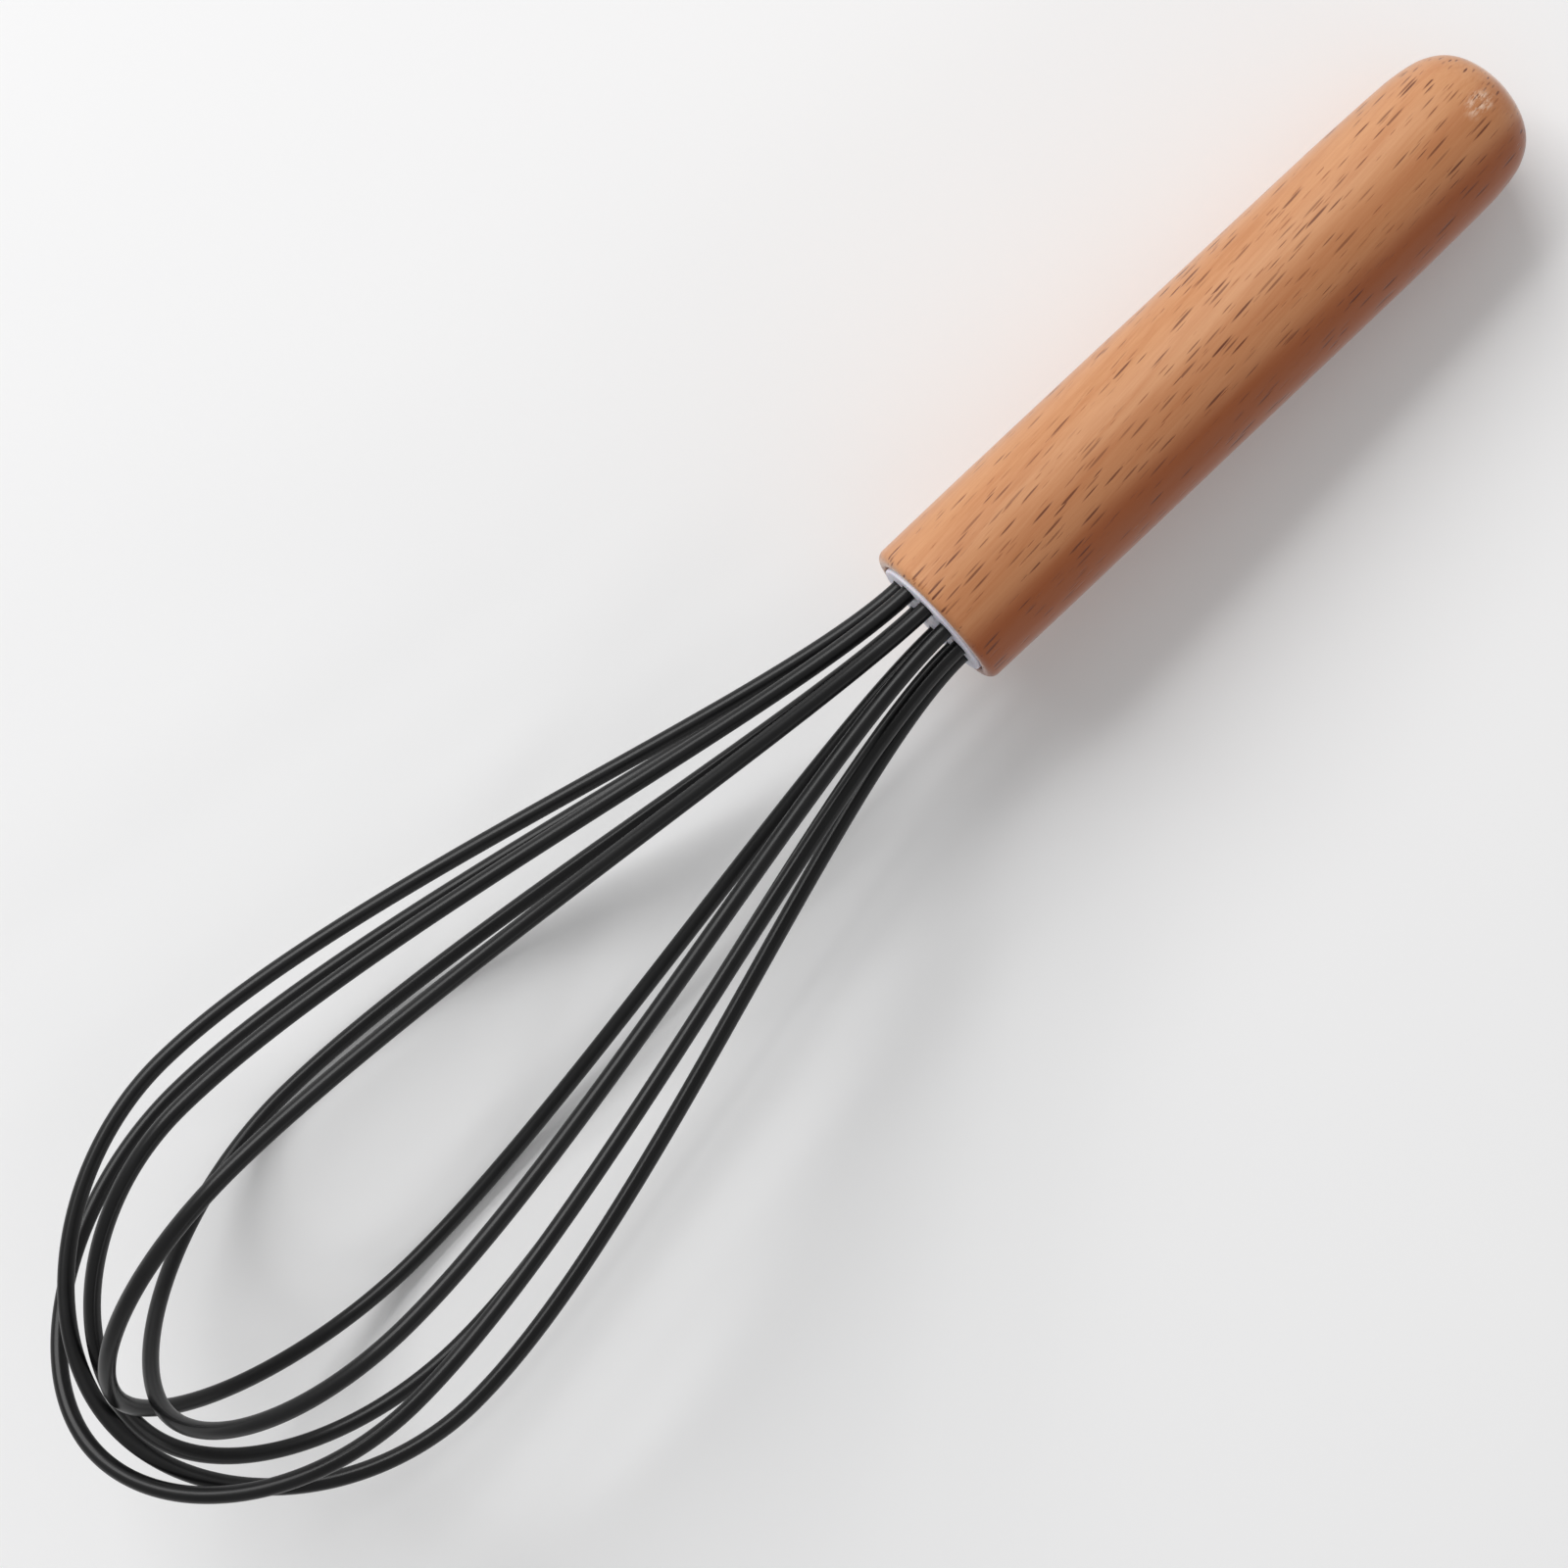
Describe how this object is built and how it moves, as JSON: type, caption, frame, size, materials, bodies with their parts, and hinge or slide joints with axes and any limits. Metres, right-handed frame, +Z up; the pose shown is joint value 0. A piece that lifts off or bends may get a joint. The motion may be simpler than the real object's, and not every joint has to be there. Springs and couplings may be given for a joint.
{
  "type": "balloon whisk",
  "caption": "Hand whisk lying on a table, with a turned wooden handle and a balloon of crossing silicone-covered wire loops.",
  "frame": {"origin": "middle of the bounding box at the table's height", "axes": "+X along the whisk from the butt of the handle to the tips of the loops, seen from above, +Z up from the table the whisk lies on, +Y to the left of +X"},
  "size_m": [0.2606, 0.0629, 0.059],
  "materials": {
    "beech": "satin",
    "plug_nylon": "matte",
    "potting_epoxy": "cast",
    "spring_steel": "drawn wire",
    "silicone": "satin"
  },
  "bodies": {
    "root": {"wood_handle": "beech", "wire_plug": "plug_nylon", "wire_potting": "potting_epoxy", "wire_core_1": "spring_steel", "wire_core_2": "spring_steel", "wire_core_3": "spring_steel", "wire_core_4": "spring_steel", "wire_core_5": "spring_steel", "silicone_sleeve_1": "silicone", "silicone_sleeve_2": "silicone", "silicone_sleeve_3": "silicone", "silicone_sleeve_4": "silicone", "silicone_sleeve_5": "silicone"}
  },
  "joints": []
}
